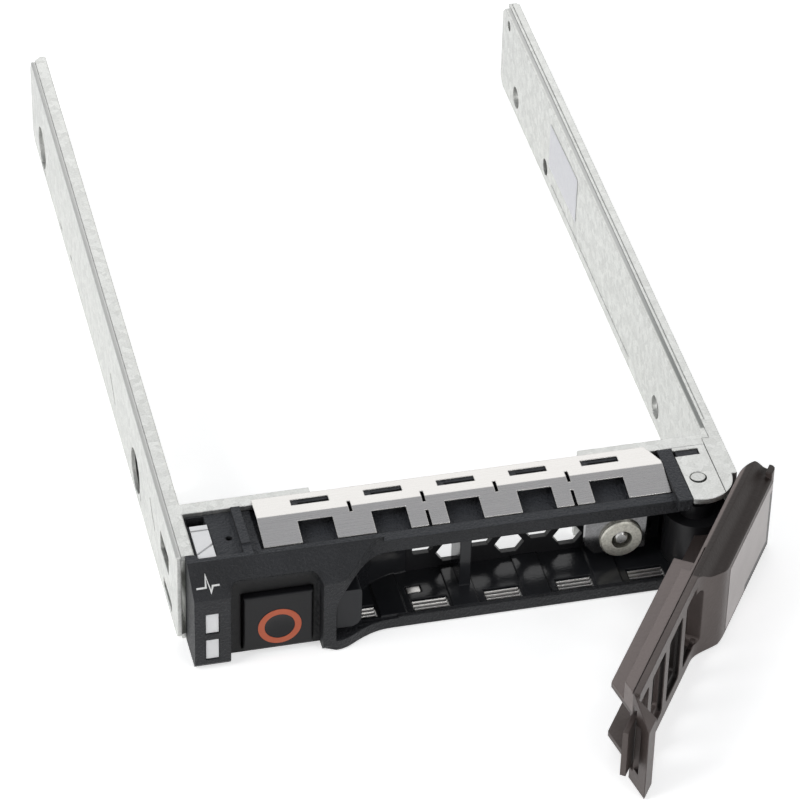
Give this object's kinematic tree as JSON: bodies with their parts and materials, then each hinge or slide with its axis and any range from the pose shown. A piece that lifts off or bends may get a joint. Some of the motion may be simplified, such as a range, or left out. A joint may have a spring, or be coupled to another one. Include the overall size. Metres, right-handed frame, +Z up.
{
  "type": "drive caddy",
  "caption": "Hot swap drive caddy: two folded steel rails on a black vented bezel with a spring strip, push button latch and a swung-out handle",
  "frame": {"origin": "on the centre line between the rails, at the rear face of the front cross web, in the plane the tray rests on", "axes": "+X across the tray towards the lever pivot, +Y back along the rails, +Z up"},
  "size_m": [0.0804, 0.1568, 0.0142],
  "materials": {
    "rail_left": "galvanised, fine spangle",
    "side_plate_left": "galvanised, fine spangle",
    "rail_right": "galvanised, fine spangle",
    "side_channel_right": "galvanised, fine spangle",
    "pivot_plate": "galvanised, fine spangle",
    "bezel": "fine moulded texture",
    "vent_grille": "moulded, satin",
    "emi_strip_top": "rolled spring steel",
    "emi_strip_bottom": "rolled spring steel",
    "lever": "fine moulded texture with a metallic tone",
    "lever_hub": "moulded, satin",
    "lever_label_plate": "smooth satin",
    "release_button": "fine moulded texture",
    "button_ring": "satin",
    "release_latch": "moulded, satin",
    "latch_spring": "drawn wire",
    "pivot_pin": "turned",
    "torsion_spring": "drawn wire",
    "light_pipe_upper": "clear, polished",
    "light_pipe_lower": "clear, polished",
    "bush_bracket": "bright zinc plated",
    "flanged_bush": "turned, nickel plated",
    "bush_stud": "turned, bright",
    "bezel_rivets": "turned, bright"
  },
  "bodies": {
    "carrier": {"rail_left": "rail_left", "side_plate_left": "side_plate_left", "rail_right": "rail_right", "side_channel_right": "side_channel_right", "pivot_plate": "pivot_plate", "bezel": "bezel", "vent_grille": "vent_grille", "emi_strip_top": "emi_strip_top", "emi_strip_bottom": "emi_strip_bottom", "latch_spring": "latch_spring", "pivot_pin": "pivot_pin", "light_pipe_upper": "light_pipe_upper", "light_pipe_lower": "light_pipe_lower", "bush_bracket": "bush_bracket", "flanged_bush": "flanged_bush", "bush_stud": "bush_stud", "bezel_rivets": "bezel_rivets"},
    "lever": {"lever": "lever", "lever_hub": "lever_hub", "lever_label_plate": "lever_label_plate", "torsion_spring": "torsion_spring"},
    "button": {"release_button": "release_button", "button_ring": "button_ring"},
    "latch": {"release_latch": "release_latch"}
  },
  "joints": [
    {"name": "lever_pivot", "type": "hinge", "parent": "carrier", "child": "lever", "pos_m": [0.0322, -0.0085, 0.007], "axis": [0, 0, 1], "range_deg": [-56, 0], "stiffness_Nm_per_rad": 0.01, "springref_deg": 28.65},
    {"name": "button_press", "type": "slide", "parent": "carrier", "child": "button", "axis": [0, 1, 0], "range_m": [0, 0.0012], "stiffness_N_per_m": 200, "springref_m": -0.002},
    {"name": "latch_slide", "type": "slide", "parent": "carrier", "child": "latch", "axis": [1, 0, 0], "range_m": [-0.0012, 0], "stiffness_N_per_m": 200, "springref_m": 0.002, "deforming": ["latch_spring"]}
  ],
  "couplings": [
    {"joint": "latch_slide", "follows": "button_press", "ratio": -1}
  ]
}
